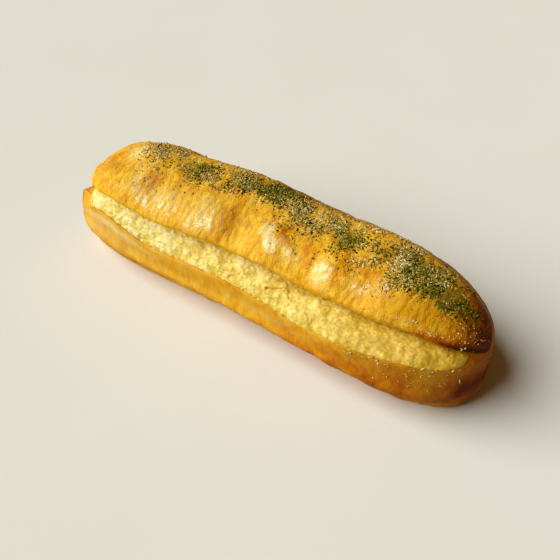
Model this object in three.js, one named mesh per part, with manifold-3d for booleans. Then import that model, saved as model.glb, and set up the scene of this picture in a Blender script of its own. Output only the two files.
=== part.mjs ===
// A long soft roll, slit along its front and hinged along its back. The slit is packed with
// mashed potato and mayonnaise, and the lid is strewn with dried herb and grated hard cheese.
// Millimetres. +X runs along the roll, +Z is up, and the slit opens towards -Y.
// The roll and its filling are each one closed solid. The larger flakes and grains are fused
// to the lid, because they are baked on.

import * as THREE from 'three';
import { mergeVertices } from 'three/addons/utils/BufferGeometryUtils.js';
import Module from 'manifold-3d';

const wasm = await Module();
wasm.setup();

// ---- Driving dimensions ---------------------------------------------------------------

const LENGTH = 176; // the base, tip to tip
const LID_SHORTER = 0.05; // share by which the lid is shorter than the base
const LID_SHIFT = 3.9; // how far the lid sits towards +X
const BASE_TURN = 2; // how far the base's +X end swings back, its -X end forward
const CLEARANCE = 0.5; // between the filling and the bread
const CENTRE = [0, 7.1]; // middle of the roll's bounding box, seen from above

// How the cross-section draws in towards the ends. plan and side are powers: 2 gives an
// ellipse from above or from the side, and a larger one gives a blunter end. The -X tip and
// the +X tip keep tipShares of the height, measured about tipHeight. taper makes the +X half
// wider or narrower than the other, and belly makes both ends wider than the middle. lean and
// swell do the same for the height over tipHeight.
const BASE_ENDS = {
  plan: 3.3,
  side: 10,
  tipHeight: 16.4,
  tipShares: [0.4, 0.5],
  taper: 0.18,
  belly: 0.04,
  lean: 0.13,
  swell: 0,
};
const LID_ENDS = {
  plan: 4.3,
  side: 6,
  tipHeight: 25.3,
  tipShares: [0.2, 0.2],
  taper: -0.17,
  belly: 0.04,
  lean: -0.01,
  swell: 0.06,
};
const BASE_BEND = 9.8; // how far the middle of the base bows towards the back
const LID_BEND = 7.1; // and the middle of the lid

// The cross-section half way along, as [y, z, lid]: lid is 1 on the lid, 0 on the base, and
// goes from one to the other round the hinge at the back.
const OUTSIDE = [
  [-18.2, 32.0, 1], // lip of the lid, tucked under
  [-22.0, 33.9, 1],
  [-23.2, 38.2, 1],
  [-17.1, 43.9, 1],
  [-6.1, 46.9, 1], // crest
  [6.7, 46.9, 1],
  [15.2, 39.4, 1],
  [22.4, 29.9, 0.3],
  [27.3, 20.3, 0], // back
  [27.1, 9.0, 0],
  [20.0, -0.8, 0], // the underside is pressed flat at z = 0
  [-17.7, -0.8, 0],
  [-24.2, 4.5, 0],
  [-30.9, 12.6, 0],
  [-30.3, 17.8, 0],
  [-30.9, 26.6, 0], // rim of the base
];
const TOP = 4.5; // the middle of the lid's top, counted along OUTSIDE
const FOOT = 10.5; // and the middle of the underside
const INSIDE = [
  [-18.2, 32.0, 1], // from the same lip, in under the lid
  [-12.4, 31.2, 1],
  [-2.0, 29.8, 1],
  [8.0, 27.5, 0.95],
  [15.0, 25.0, 0.5], // end of the slit
  [8.0, 22.8, 0.05],
  [-4.0, 21.8, 0],
  [-16.0, 22.2, 0],
  [-27.0, 24.0, 0],
  [-30.9, 26.6, 0], // to the same rim
];

// Heights by which the lip, the rim and the crest rise and dip at equal steps from the -X end
// to the +X end.
const LIP_RISE = [2.8, 5.6, 2.9, 3.1, 2, 0, -0.1, 1.1, 0.8];
const RIM_RISE = [-2.5, 4, -1.2, -0.8, -0.5, -2.3, -0.8, 1.7, 2.8];
const CREST_RISE = [-0.9, 1.1, -0.7, 0.7, 0, -1, 1.4, 0.5, -0.6];

// How far these rises reach round the section, counted in points of OUTSIDE: the lip's in full
// and where it has faded, the rim's, and the crest's about its middle. In the slit the lip's and
// the rim's are counted in points of INSIDE.
const LIP_REACH = { full: 0.8, faded: 4.4 };
const RIM_REACH = 2;
const CREST_REACH = { middle: 5.5, faded: 2.5 };
const SLIT_REACH = { lip: 2, rim: 2.5 };

// Towards its ends the slit gets shallower, between these places along the roll, until lip
// and rim are joined by a flat ledge.
const SLIT_ENDS = { left: [-73, -77], right: [82, 86] };

// Places on the lid are given as x along the roll and across, which counts the points of
// OUTSIDE from the lip, so that 4 is the crest. long and wide are a reach in these units.
const SWELLINGS = [
  { x: -54, across: 4.3, long: 12, wide: 1.1, rise: 0.8 },
  { x: -42, across: 3.3, long: 9, wide: 0.9, rise: -1 },
  { x: -24, across: 2.5, long: 18, wide: 1.6, rise: 0.9 },
  { x: -6, across: 2.9, long: 10, wide: 1.8, rise: -1.4 },
  { x: 8, across: 2.8, long: 11, wide: 1.5, rise: 0.8 },
  { x: 20, across: 3.3, long: 7, wide: 1.2, rise: -0.7 },
  { x: 32, across: 2.8, long: 9, wide: 1.4, rise: 0.9 },
  { x: 44, across: 3, long: 9, wide: 1.6, rise: -1.3 },
  { x: 62, across: 3.2, long: 15, wide: 1.6, rise: 0.7 },
];

// Dried herb and grated cheese baked on to the lid: where the patches are, how far each
// reaches, and how many pieces it holds that are large enough to be modelled here.
const HERB_PATCHES = [
  { x: -36, across: 4.4, long: 12, wide: 0.5, count: 12 },
  { x: -2, across: 4.7, long: 10, wide: 0.4, count: 16 },
  { x: 12, across: 4.2, long: 9, wide: 0.5, count: 10 },
  { x: 30, across: 4.4, long: 12, wide: 0.6, count: 12 },
  { x: 52, across: 4.4, long: 11, wide: 0.6, count: 16 },
  { x: 68, across: 4.4, long: 8, wide: 0.6, count: 14 },
  { x: 71, across: 3.5, long: 3, wide: 0.2, count: 4 },
];
const CHEESE_PATCHES = [
  { x: -52, across: 4.5, long: 11, wide: 0.5, count: 12 },
  { x: -20, across: 4.6, long: 12, wide: 0.4, count: 6 },
  { x: 20, across: 4.5, long: 12, wide: 0.5, count: 8 },
  { x: 48, across: 4.2, long: 13, wide: 0.7, count: 12 },
  { x: 78, across: 2.9, long: 5, wide: 0.5, count: 6 },
];
const HERB_SIZE = { least: 1.6, most: 2.6, thick: 0.7, taper: 0.83, lift: 0.14, tilt: 0.9 };
const CHEESE_SIZE = { least: 1.2, most: 2.2, thick: [0.5, 0.8], tilt: 0.6 };
const SLIMMEST = 0.5; // how narrow a flake or grain gets for its length
const WIDEST = 0.9;
const SEED = 7;

// The filling: how far its face spills on to the rim and how far it bulges, both at equal
// steps from end to end, and the height of its lumps. Its ends round off between two places
// along the roll, to a point at a share of the way up the face.
const SPILL = [0, 0, 0.1, 0.3, 0.6, 1, 1, 0.8, 0.5];
const FACE_BULGE = [0.6, 0.9, 1.1, 1.4, 1.6, 1.6, 1.4, 1, 0.4];
const LUMP = 0.35;
const LUMP_WAVES = [
  { long: 0.31, up: -7, start: 1 },
  { long: 0.55, up: 4, start: 0 },
  { long: 0.83, up: 9, start: 2 },
];
const FACE_LOW = 1.3; // the face bulges this much more low down, and less higher up
const FACE_HIGH = 0.7;
const FILLING_SLIT = { roof: [0.35, 3.3], floor: [4.7, 8.05] }; // its reach across INSIDE
const SPILL_REACH = 0.8; // how much further the floor's reach gets where SPILL is 1
const FACE_TILT = Math.PI / 3; // the face bulges forwards and up, at this angle to the ground
const FILLING_ENDS = {
  left: { round: -67, tip: -74, share: 0.4 },
  right: { round: 75, tip: 83.8, share: 0.7 },
};
const END_BLUNTNESS = 3; // 2 would round the filling's ends off as ellipses

// Fineness of the solids
const STATIONS = 44; // cross-sections along the roll
const OUTSIDE_STEPS = 45;
const INSIDE_STEPS = 18;
const SLIT_STEPS = 6; // of the filling, on each side of the slit
const FACE_STEPS = 9; // of the filling's open face
const END = 0.9999; // the last station, as a share of the half length

// ---- The bread's surface --------------------------------------------------------------

function curveThrough(points) {
  return new THREE.CatmullRomCurve3(points.map((p) => new THREE.Vector3(...p)), false, 'catmullrom');
}

function mix(a, b, share) {
  return a + (b - a) * share;
}

// A smooth hump: 1 at zero distance, 0 from reach outwards.
function hump(distance, reach) {
  const t = Math.max(1 - Math.abs(distance) / reach, 0);
  return t * t * (3 - 2 * t);
}

const outside = curveThrough(OUTSIDE);
const inside = curveThrough(INSIDE);
const lastOutside = OUTSIDE.length - 1;
const lastInside = INSIDE.length - 1;

// Reads heights given at equal steps from end to end, at station s.
function along(heights) {
  const curve = curveThrough(heights.map((height) => [height, 0, 0]));
  return (s) => curve.getPoint((s + 1) / 2).x;
}

const lipRise = along(LIP_RISE);
const rimRise = along(RIM_RISE);
const crestRise = along(CREST_RISE);
const spill = along(SPILL);
const faceBulge = along(FACE_BULGE);

// How wide and how tall the cross-section is at station s, which runs from -1 to 1.
function widthAt(ends, s) {
  const round = Math.sqrt(1 - Math.abs(s) ** ends.plan);
  return round * (1 + ends.taper * s + ends.belly * s * s);
}

function heightAt(ends, s) {
  const round = Math.sqrt(1 - Math.abs(s) ** ends.side);
  return mix(ends.tipShares[s < 0 ? 0 : 1], 1, round);
}

function growthAt(ends, s) {
  return 1 + ends.lean * s + ends.swell * s * s;
}

// Where station s lies along the roll, on the lid (1), on the base (0) or between them, and
// back.
function xAt(s, lid) {
  return (s * LENGTH * (1 - LID_SHORTER * lid)) / 2 + LID_SHIFT * lid - CENTRE[0];
}

function stationAt(x, lid) {
  return (2 * (x + CENTRE[0] - LID_SHIFT * lid)) / (LENGTH * (1 - LID_SHORTER * lid));
}

// Takes a point of the cross-section to its place at station s.
function place(section, s, wave) {
  const lid = THREE.MathUtils.clamp(section.z, 0, 1);
  const wide = mix(widthAt(BASE_ENDS, s), widthAt(LID_ENDS, s), lid);
  const tall = mix(heightAt(BASE_ENDS, s), heightAt(LID_ENDS, s), lid);
  const growth = mix(growthAt(BASE_ENDS, s), growthAt(LID_ENDS, s), lid);
  const tip = mix(BASE_ENDS.tipHeight, LID_ENDS.tipHeight, lid);
  const rise = (section.y - tip) * tall;
  const y = section.x * wide + mix(BASE_BEND, LID_BEND, lid) * (1 - s * s) + BASE_TURN * s * (1 - lid);
  const z = tip + (rise > 0 ? rise * growth : rise) + wave;
  return new THREE.Vector3(xAt(s, lid), y - CENTRE[1], Math.max(z, 0));
}

// How far the soft swellings push the crust out.
function swelling(across, s) {
  let rise = 0;
  for (const spot of SWELLINGS) {
    const away = ((s - stationAt(spot.x, 1)) * LENGTH) / 2 / spot.long;
    rise += spot.rise * hump(Math.hypot(away, (across - spot.across) / spot.wide), 1);
  }
  return rise;
}

// A point of the crust: across counts the points of OUTSIDE, from the lip to the rim.
function crust(across, s) {
  const section = outside.getPoint(across / lastOutside);
  const tangent = outside.getTangent(across / lastOutside);
  const push = swelling(across, s) / Math.hypot(tangent.x, tangent.y);
  section.x -= tangent.y * push;
  section.y += tangent.x * push;
  const { full, faded } = LIP_REACH;
  const lip = lipRise(s) * hump(Math.max(across - full, 0), faded - full);
  const rim = rimRise(s) * hump(across - lastOutside, RIM_REACH);
  const crest = crestRise(s) * hump(across - CREST_REACH.middle, CREST_REACH.faded);
  return place(section, s, lip + rim + crest);
}

// How much a point of the slit belongs to the lid. across counts the points of INSIDE, from
// the lip to the rim.
function lidShare(across) {
  return THREE.MathUtils.clamp(inside.getPoint(across / lastInside).z, 0, 1);
}

// A point of the cut faces. At the -X end, where the base is longer than the lid, the ledge
// steps from one to the other half way.
function cutFace(across, s) {
  const share = across / lastInside;
  const lid = lidShare(across);
  const x = xAt(s, lid);
  const [from, to] = x < 0 ? SLIT_ENDS.left : SLIT_ENDS.right;
  const closed = THREE.MathUtils.smoothstep((x - from) / (to - from), 0, 1);
  const ledge = inside.getPoint(0).lerp(inside.getPoint(1), share);
  if (x < 0) {
    ledge.z = lid;
  }
  const section = inside.getPoint(share).lerp(ledge, closed);
  const lip = lipRise(s) * hump(across, SLIT_REACH.lip);
  const rim = rimRise(s) * hump(across - lastInside, SLIT_REACH.rim);
  return place(section, s, mix(lip + rim, mix(lipRise(s), rimRise(s), share), closed));
}

// The direction out of the bread at a point of one of these two surfaces.
function outwards(surface, across, s) {
  const step = 0.01;
  const alongRoll = surface(across, s + step).sub(surface(across, s - step));
  const round = surface(across + step, s).sub(surface(across - step, s));
  return alongRoll.cross(round).normalize();
}

// ---- Solids swept from cross-section to cross-section ----------------------------------

const stations = [];
for (let i = 0; i <= STATIONS; i += 1) {
  stations.push(-END * Math.cos((Math.PI * i) / STATIONS));
}

// Makes one closed solid of rings with equal numbers of points. ends lists the triangles
// that close a ring, as numbers of its points, seen from +X with the ring running round
// from the lip over the top.
function sweptSolid(rings, ends) {
  const size = rings[0].length;
  const corners = rings.flat().flatMap((p) => p.toArray());
  const faces = [];
  for (let r = 0; r + 1 < rings.length; r += 1) {
    for (let k = 0; k < size; k += 1) {
      const here = r * size + k;
      const next = r * size + ((k + 1) % size);
      faces.push(here, here + size, next, next, here + size, next + size);
    }
  }
  const last = (rings.length - 1) * size;
  for (const [a, b, c] of ends) {
    faces.push(a, b, c, last + a, last + c, last + b);
  }
  const geometry = new THREE.BufferGeometry();
  geometry.setAttribute('position', new THREE.Float32BufferAttribute(corners, 3));
  geometry.setIndex(faces);
  return geometry;
}

// Closes a ring of points with triangles between its two sides. Both sides run from point
// start to point turn, one forwards and the other backwards.
function closeRing(size, start, turn) {
  const triangles = [];
  const forwards = turn - start;
  const backwards = size - forwards;
  let a = 0;
  let b = 0;
  while (a < forwards || b < backwards) {
    const near = start + a;
    const far = (start - b + size) % size;
    if ((a + 1) / forwards <= (b + 1) / backwards) {
      triangles.push([near, near + 1, far]);
      a += 1;
    } else {
      triangles.push([near, (far - 1 + size) % size, far]);
      b += 1;
    }
  }
  return triangles.filter(([p, q, r]) => p !== q && q !== r && p !== r);
}

function breadGeometry() {
  const rings = stations.map((s) => {
    const ring = [];
    for (let k = 0; k <= OUTSIDE_STEPS; k += 1) {
      ring.push(crust((k * lastOutside) / OUTSIDE_STEPS, s));
    }
    for (let k = INSIDE_STEPS - 1; k > 0; k -= 1) {
      ring.push(cutFace((k * lastInside) / INSIDE_STEPS, s));
    }
    return ring;
  });
  const top = Math.round((TOP * OUTSIDE_STEPS) / lastOutside);
  const foot = Math.round((FOOT * OUTSIDE_STEPS) / lastOutside);
  return sweptSolid(rings, closeRing(rings[0].length, top, foot));
}

// A point of the slit's wall at x along the roll, moved off the bread by the clearance.
function offBread(across, x) {
  const s = stationAt(x, lidShare(across));
  return cutFace(across, s).addScaledVector(outwards(cutFace, across, s), -CLEARANCE);
}

// Small lumps of mash, as a height over the filling's face: waves at different slants.
function lump(t, x) {
  let height = 0;
  for (const { long, up, start } of LUMP_WAVES) {
    height += Math.sin(long * x + up * t + start);
  }
  return LUMP * height;
}

function fillingGeometry() {
  const { roof, floor } = FILLING_SLIT;
  const { left, right } = FILLING_ENDS;
  const rings = [];
  for (let i = 0; i <= STATIONS; i += 1) {
    const x = mix(left.tip, right.tip, (1 - Math.cos((Math.PI * i) / STATIONS)) / 2);
    const s = stationAt(x, 0);
    const ring = [];
    for (let k = 0; k < SLIT_STEPS; k += 1) {
      ring.push(offBread(mix(roof[0], roof[1], k / (SLIT_STEPS - 1)), x));
    }
    const rim = floor[1] + SPILL_REACH * spill(s);
    for (let k = 0; k < SLIT_STEPS; k += 1) {
      ring.push(offBread(mix(floor[0], rim, k / (SLIT_STEPS - 1)), x));
    }
    const low = ring[ring.length - 1];
    const high = ring[0];
    for (let k = 1; k < FACE_STEPS; k += 1) {
      const t = k / FACE_STEPS;
      const shape = Math.sin(Math.PI * t) * mix(FACE_LOW, FACE_HIGH, t);
      const bulge = (faceBulge(s) + lump(t, x)) * shape;
      const point = low.clone().lerp(high, t);
      point.y -= Math.cos(FACE_TILT) * bulge;
      point.z += Math.sin(FACE_TILT) * bulge;
      ring.push(point);
    }
    const { round, tip, share } = x < 0 ? left : right;
    const beyond = Math.max((x - round) / (tip - round), 0);
    const size = (1 - END * beyond ** END_BLUNTNESS) ** (1 / END_BLUNTNESS);
    const middle = low.clone().lerp(high, share);
    rings.push(ring.map((p) => p.lerp(middle, 1 - size)));
  }
  return sweptSolid(rings, closeRing(rings[0].length, 0, 2 * SLIT_STEPS - 1));
}

// ---- Flakes and grains baked on to the lid ----------------------------------------------

// Repeatable draws between 0 and 1
function drawsFrom(seed) {
  let state = seed;
  return () => {
    state = (Math.imul(state, 1664525) + 1013904223) >>> 0;
    return state / 2 ** 32;
  };
}

const draw = drawsFrom(SEED);

function drawAround(middle, reach) {
  return middle + reach * (draw() + draw() + draw() - 1.5);
}

// Sets a small piece on the lid, turned about the crust's normal, tilted and half sunk.
function setOnLid(geometry, patch, tilt) {
  const across = drawAround(patch.across, patch.wide);
  const s = stationAt(drawAround(patch.x, patch.long), 1);
  const normal = outwards(crust, across, s);
  const stand = new THREE.Quaternion().setFromUnitVectors(new THREE.Vector3(0, 0, 1), normal);
  const turn = new THREE.Euler(tilt * (draw() - 0.5), tilt * (draw() - 0.5), 2 * Math.PI * draw());
  geometry.applyMatrix4(new THREE.Matrix4().makeRotationFromEuler(turn));
  geometry.applyMatrix4(new THREE.Matrix4().makeRotationFromQuaternion(stand));
  const at = crust(across, s);
  return geometry.translate(at.x, at.y, at.z);
}

// A flake of dried leaf: a thin plate with five uneven sides.
function flake(patch) {
  const { least, most, thick, taper, lift, tilt } = HERB_SIZE;
  const radius = mix(least, most, draw()) / 2;
  const plate = new THREE.CylinderGeometry(radius, radius * taper, thick, 5);
  plate.rotateX(Math.PI / 2);
  plate.scale(1, mix(SLIMMEST, WIDEST, draw()), 1);
  plate.translate(0, 0, lift);
  return setOnLid(plate, patch, tilt);
}

// A grain of grated cheese: a squashed lump.
function grain(patch) {
  const { least, most, thick, tilt } = CHEESE_SIZE;
  const lumpy = new THREE.IcosahedronGeometry(mix(least, most, draw()) / 2);
  lumpy.scale(1, mix(SLIMMEST, WIDEST, draw()), mix(thick[0], thick[1], draw()));
  return setOnLid(lumpy, patch, tilt);
}

function toppings() {
  const pieces = [];
  for (const patch of HERB_PATCHES) {
    for (let k = 0; k < patch.count; k += 1) {
      pieces.push(flake(patch));
    }
  }
  for (const patch of CHEESE_PATCHES) {
    for (let k = 0; k < patch.count; k += 1) {
      pieces.push(grain(patch));
    }
  }
  return pieces;
}

// ---- Joining --------------------------------------------------------------------------

function toManifold(geometry) {
  const bare = geometry.clone();
  bare.deleteAttribute('normal');
  bare.deleteAttribute('uv');
  const merged = mergeVertices(bare, 1e-4);
  const vertProperties = new Float32Array(merged.attributes.position.array);
  const triVerts = new Uint32Array(merged.index.array);
  return new wasm.Manifold(new wasm.Mesh({ numProp: 3, vertProperties, triVerts }));
}

function fromManifold(manifold) {
  const { vertProperties, triVerts } = manifold.getMesh();
  const geometry = new THREE.BufferGeometry();
  geometry.setAttribute('position', new THREE.BufferAttribute(vertProperties, 3));
  geometry.setIndex(new THREE.BufferAttribute(triVerts, 1));
  return geometry;
}

function bunGeometry() {
  let bread = toManifold(breadGeometry());
  for (const piece of toppings()) {
    bread = bread.add(toManifold(piece));
  }
  return fromManifold(bread);
}

// ---- Assembly -------------------------------------------------------------------------

const crustMaterial = new THREE.MeshStandardMaterial({ color: 0xdba648, roughness: 0.4, metalness: 0 });
const mashMaterial = new THREE.MeshStandardMaterial({ color: 0xecd27a, roughness: 0.6, metalness: 0 });

const bun = new THREE.Mesh(bunGeometry(), crustMaterial);
bun.name = 'bun';

const filling = new THREE.Mesh(fillingGeometry(), mashMaterial);
filling.name = 'filling';

const group = new THREE.Group();
group.add(bun, filling);
export default group;
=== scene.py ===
# %% [markdown]
# # A filled roll, modelled from its slit outwards
#
# The object is a long soft roll. A baker slits it along the front, packs the slit with mashed
# potato and mayonnaise, brushes the crust with egg, strews it with dried herb and grated hard
# cheese, and bakes it again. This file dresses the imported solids: the bread, the mash, and
# the herb and cheese as thousands of small real pieces.

# %% Load the frame
import math
import random

import bmesh
import bpy
import numpy as np
from mathutils import Matrix, Vector, noise


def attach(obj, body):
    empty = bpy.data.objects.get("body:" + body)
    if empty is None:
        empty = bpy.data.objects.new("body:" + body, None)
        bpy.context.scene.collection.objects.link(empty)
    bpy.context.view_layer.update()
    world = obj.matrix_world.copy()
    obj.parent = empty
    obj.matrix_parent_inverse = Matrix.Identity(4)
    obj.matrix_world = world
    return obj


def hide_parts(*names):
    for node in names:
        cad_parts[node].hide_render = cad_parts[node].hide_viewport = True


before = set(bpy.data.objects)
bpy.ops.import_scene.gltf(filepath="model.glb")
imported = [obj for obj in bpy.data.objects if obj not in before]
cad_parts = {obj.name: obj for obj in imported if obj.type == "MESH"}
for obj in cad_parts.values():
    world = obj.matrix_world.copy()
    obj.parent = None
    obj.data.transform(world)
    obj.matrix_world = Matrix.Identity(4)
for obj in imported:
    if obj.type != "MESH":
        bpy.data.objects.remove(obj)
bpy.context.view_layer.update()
MM = 0.001  # one millimetre in metres

# %% [markdown]
# ## The shape of the bread
#
# A roll could be sculpted by hand, but then the slit, the lid and the filling would have to be
# fitted to each other by eye. The solids are swept from one drawn cross-section instead, and
# the same cross-section is used here with far more stations, so every new piece lies where
# its solid is. The outside curve runs from the lip of the lid over the crest, down the back,
# under the roll and up to the rim. The inside curve runs through the slit. Each point says
# how far back it is, how high it is, and whether it belongs to the lid (1) or the base (0).

# %% Driving dimensions, in millimetres
LENGTH = 176  # the base, tip to tip
LID_SHORTER = 0.05  # share by which the lid is shorter than the base
LID_SHIFT = 3.9  # how far the lid sits towards +X
BASE_TURN = 2  # how far the base's +X end swings back, its -X end forward
BASE_BEND = 9.8  # how far the middle of the base bows towards the back
LID_BEND = 7.1  # and the middle of the lid
CENTRE = (0, 7.1)  # middle of the roll's bounding box, seen from above
# plan and side are powers: a larger one gives a blunter end from above or from the side. The
# two tips keep tip_shares of the height, measured about tip_height. taper and lean make the +X
# half wider or taller than the other half, and belly and swell do it at both ends.
BASE_ENDS = dict(
    plan=3.3, side=10, tip_height=16.4, tip_shares=(0.4, 0.5), taper=0.18, belly=0.04, lean=0.13)
LID_ENDS = dict(
    plan=4.3, side=6, tip_height=25.3, tip_shares=(0.2, 0.2), taper=-0.17, belly=0.04, lean=-0.01,
    swell=0.06)
OUTSIDE = [
    (-18.2, 32.0, 1), (-22.0, 33.9, 1), (-23.2, 38.2, 1), (-17.1, 43.9, 1), (-6.1, 46.9, 1),
    (6.7, 46.9, 1), (15.2, 39.4, 1), (22.4, 29.9, 0.3), (27.3, 20.3, 0), (27.1, 9.0, 0),
    (20.0, -0.8, 0), (-17.7, -0.8, 0), (-24.2, 4.5, 0), (-30.9, 12.6, 0), (-30.3, 17.8, 0),
    (-30.9, 26.6, 0),
]
INSIDE = [
    (-18.2, 32.0, 1), (-12.4, 31.2, 1), (-2.0, 29.8, 1), (8.0, 27.5, 0.95), (15.0, 25.0, 0.5),
    (8.0, 22.8, 0.05), (-4.0, 21.8, 0), (-16.0, 22.2, 0), (-27.0, 24.0, 0), (-30.9, 26.6, 0),
]
LAST_OUT = len(OUTSIDE) - 1
LAST_IN = len(INSIDE) - 1
print("cross-section:", len(OUTSIDE), "points outside and", len(INSIDE), "in the slit")

# %% How lip, rim, crest and lid rise and dip along the roll
LIP_RISE = (2.8, 5.6, 2.9, 3.1, 2, 0, -0.1, 1.1, 0.8)  # at equal steps from -X to +X
RIM_RISE = (-5, 4, -1.2, -0.8, -0.5, -2.3, -0.8, 1.7, 2.8)
CREST_RISE = (-0.9, 1.1, -0.7, 0.7, 0, -1, 1.4, 0.5, -0.6)
LIP_FULL, LIP_FADED = 0.8, 4.4  # counted across: the lip's rise is full to here, and gone here
RIM_REACH = 2
CREST, CREST_REACH = 5.5, 2.5
LIP_REACH_INSIDE, RIM_REACH_INSIDE = 2, 2.5
SLIT_ENDS = ((-70.5, -73.5), (77, 83))  # where the slit gets shallower, and where it is closed
SWELLINGS = [  # x along the roll, across, reach in both, height
    (-54, 4.3, 12, 1.1, 0.8), (-42, 3.3, 9, 0.9, -1), (-24, 2.5, 18, 1.6, 0.9),
    (-6, 2.9, 10, 1.8, -1.4), (8, 2.8, 11, 1.5, 0.8), (20, 3.3, 7, 1.2, -0.7),
    (32, 2.8, 9, 1.4, 0.9), (44, 3, 9, 1.6, -1.3), (62, 3.2, 15, 1.6, 0.7),
]
print("swellings and dips of the lid:", len(SWELLINGS))

# %% [markdown]
# The functions below read whole arrays at once, because the bread alone has some ninety
# thousand points. A place on the bread is named by two numbers: `across` counts the points of
# the curve that it lies on, and `s` runs from -1 at the left tip to 1 at the right.


# %% Curves and humps
def spline(points):
    """A smooth curve through points, read at t, which counts the points."""
    p = np.asarray(points, float).reshape(len(points), -1)
    p = np.vstack([2 * p[0] - p[1], p, 2 * p[-1] - p[-2]])

    def at(t):
        t = np.clip(np.asarray(t, float), 0, len(points) - 1)
        i = np.minimum(t.astype(int), len(points) - 2)
        f = (t - i)[..., None]
        a, b, c, d = p[i], p[i + 1], p[i + 2], p[i + 3]
        return b + 0.5 * f * (c - a + f * (2 * a - 5 * b + 4 * c - d + f * (3 * b - 3 * c + d - a)))

    return at


def along(heights):
    """Reads heights given at equal steps from end to end, at station s."""
    curve = spline(heights)
    return lambda s: curve((np.asarray(s, float) + 1) / 2 * (len(heights) - 1))[..., 0]


def hump(distance, reach=1):
    """1 at distance 0, falling smoothly to 0 at reach."""
    t = np.clip(1 - np.abs(distance) / reach, 0, 1)
    return t * t * (3 - 2 * t)


def mix(a, b, share):
    return a + (b - a) * share


outside, inside = spline(OUTSIDE), spline(INSIDE)
lip_rise, rim_rise, crest_rise = along(LIP_RISE), along(RIM_RISE), along(CREST_RISE)
print("lip's rise at the middle:", round(float(lip_rise(0)), 1), "mm")

# %% [markdown]
# Towards its tips a roll gets narrower and lower, and it bows a little, because it was shaped
# by hand. The cross-section could be drawn again for every station. One formula for the width
# and one for the height say the same in a few numbers, and lid and base have numbers of their
# own, because the lid is shorter and sits to one side.

# %% From the cross-section to a place on the bread
END = 0.9999  # the last station, a hair short of the tip
STEP = 0.01  # a small step along or across, to find a direction


def width_at(ends, s):
    return np.sqrt(1 - np.abs(s) ** ends["plan"]) * (1 + ends["taper"] * s + ends["belly"] * s * s)


def height_at(ends, s):
    left, right = ends["tip_shares"]
    return mix(np.where(s < 0, left, right), 1, np.sqrt(1 - np.abs(s) ** ends["side"]))


def x_at(s, lid):
    """Where station s lies along the roll, on the lid (1), on the base (0) or between them."""
    return s * LENGTH * (1 - LID_SHORTER * lid) / 2 + LID_SHIFT * lid - CENTRE[0]


def station_at(x, lid):
    return 2 * (x + CENTRE[0] - LID_SHIFT * lid) / (LENGTH * (1 - LID_SHORTER * lid))


def place(section, s, wave):
    """Takes points of the cross-section to station s, in millimetres."""
    s = np.clip(s, -END, END)
    lid = np.clip(section[..., 2], 0, 1)
    wide = mix(width_at(BASE_ENDS, s), width_at(LID_ENDS, s), lid)
    tall = mix(height_at(BASE_ENDS, s), height_at(LID_ENDS, s), lid)
    lean = mix(BASE_ENDS["lean"], LID_ENDS["lean"], lid)
    growth = 1 + s * lean + s * s * LID_ENDS["swell"] * lid
    tip = mix(BASE_ENDS["tip_height"], LID_ENDS["tip_height"], lid)
    rise = (section[..., 1] - tip) * tall
    bend = mix(BASE_BEND, LID_BEND, lid) * (1 - s * s)
    y = section[..., 0] * wide + bend + BASE_TURN * s * (1 - lid)
    z = tip + np.where(rise > 0, rise * growth, rise) + wave
    return np.stack([x_at(s, lid), y - CENTRE[1], np.maximum(z, 0)], -1)


# %% [markdown]
# The crust and the two cut faces are read from the same cross-section. Soft spots push the
# lid's front in and out, as dough does where it sagged between bubbles. At both ends the slit
# gets shallower until a flat ledge joins lip and rim.


# %% The crust and the cut faces
def spots(listed, across, s):
    """Adds up soft spots, each given as x, across, reach in both, and amount."""
    total = np.zeros(np.broadcast(across, s).shape)
    for x, middle, long, wide, amount in listed:
        away = (s - station_at(x, 1)) * LENGTH / 2 / long
        total = total + amount * hump(np.hypot(away, (across - middle) / wide))
    return total


def crust(across, s):
    across, s = np.broadcast_arrays(np.clip(across, 0, LAST_OUT), np.asarray(s, float))
    section = outside(across).copy()
    tangent = outside(across + STEP) - outside(across - STEP)
    tangent /= np.hypot(tangent[..., 0], tangent[..., 1])[..., None]
    push = spots(SWELLINGS, across, s)
    section[..., 0] -= tangent[..., 1] * push
    section[..., 1] += tangent[..., 0] * push
    lip = lip_rise(s) * hump(np.maximum(across - LIP_FULL, 0), LIP_FADED - LIP_FULL)
    rim = rim_rise(s) * hump(across - LAST_OUT, RIM_REACH)
    crest = crest_rise(s) * hump(across - CREST, CREST_REACH)
    return place(section, s, lip + rim + crest)


def past(ends, x):
    """0 between two ends, each given as two places along the roll, and 1 beyond them."""
    (left, left_end), (right, end_shade) = ends
    t = np.where(x < 0, (x - left) / (left_end - left), (x - right) / (end_shade - right))
    return np.clip(t, 0, 1)


def lid_share(across):
    return np.clip(inside(across)[..., 2], 0, 1)


def slit_closed(across, s):
    """0 where the slit is open, 1 at the ends, where a ledge joins lip and rim."""
    return 1 - hump(past(SLIT_ENDS, x_at(s, lid_share(across))))


def cut_face(across, s):
    across, s = np.broadcast_arrays(np.asarray(across, float), np.asarray(s, float))
    share = across / LAST_IN
    ledge = mix(inside(0), inside(LAST_IN), share[..., None])
    closed = slit_closed(across, s)
    lip = lip_rise(s) * hump(across, LIP_REACH_INSIDE)
    rim = rim_rise(s) * hump(across - LAST_IN, RIM_REACH_INSIDE)
    wave = mix(lip + rim, mix(lip_rise(s), rim_rise(s), share), closed)
    ledge[..., 2] = np.where(s < 0, lid_share(across), ledge[..., 2])
    return place(mix(inside(across), ledge, closed[..., None]), s, wave)


def outwards(surface, across, s):
    """The direction out of the bread."""
    long = surface(across, s + STEP) - surface(across, s - STEP)
    round_ = surface(across + STEP, s) - surface(across - STEP, s)
    n = np.cross(long, round_)
    return n / np.linalg.norm(n, axis=-1, keepdims=True)


print("crest at the middle:", np.round(crust(CREST, 0), 1), "mm")

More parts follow.
